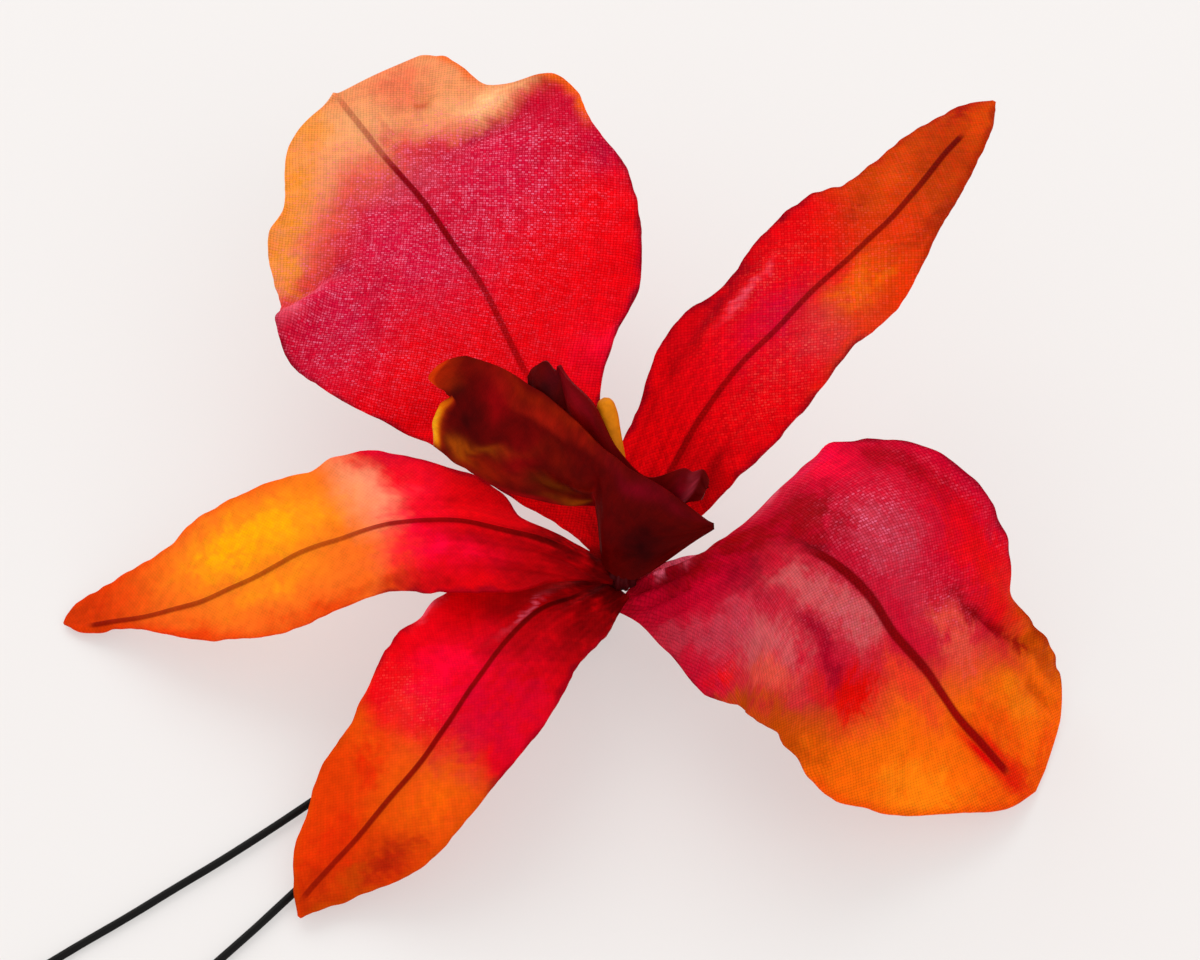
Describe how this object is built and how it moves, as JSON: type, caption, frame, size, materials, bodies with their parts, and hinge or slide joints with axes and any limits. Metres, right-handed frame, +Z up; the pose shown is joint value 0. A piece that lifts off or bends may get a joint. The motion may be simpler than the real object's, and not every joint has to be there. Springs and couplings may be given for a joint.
{
  "type": "silk orchid boutonniere",
  "caption": "Cloth orchid bloom with wired petals and sepals, a folded lip and a yellow column, bound to a black wire pin that runs out beneath it.",
  "frame": {"origin": "middle of the bloom's footprint, on the surface that it lies on", "axes": "+Z up from the surface, +X towards the arched petal, +Y towards the raised broad petal; the pin runs out towards -X and -Y"},
  "size_m": [0.1038, 0.105, 0.0335],
  "materials": {
    "petal_cloth": "plain-woven cloth dyed crimson in the middle and orange-yellow at the rim, with a bright thread sheen",
    "sepal_cloth": "plain-woven cloth dyed red to orange and yellow",
    "rib_wire": "thin dark red covered wire, matt",
    "lip_cloth": "dark red-brown stiffened cloth with a yellow-orange frilled end",
    "throat_cloth": "dark maroon stiffened cloth",
    "column_plastic": "soft yellow foam plastic, matt",
    "receptacle_plastic": "dark red moulded plastic",
    "binding_tape": "dark stretched crepe tape in overlapping turns",
    "pin_wire": "black enamelled steel wire, satin"
  },
  "bodies": {
    "root": {"petal_upper_left": "petal_cloth", "petal_lower_right": "petal_cloth", "sepal_upper_right": "sepal_cloth", "sepal_left": "sepal_cloth", "sepal_bottom": "sepal_cloth", "rib_petal_upper_left": "rib_wire", "rib_petal_lower_right": "rib_wire", "rib_sepal_upper_right": "rib_wire", "rib_sepal_left": "rib_wire", "rib_sepal_bottom": "rib_wire", "lip": "lip_cloth", "throat": "throat_cloth", "column": "column_plastic", "receptacle": "receptacle_plastic", "binding": "binding_tape", "pin": "pin_wire"}
  },
  "joints": []
}
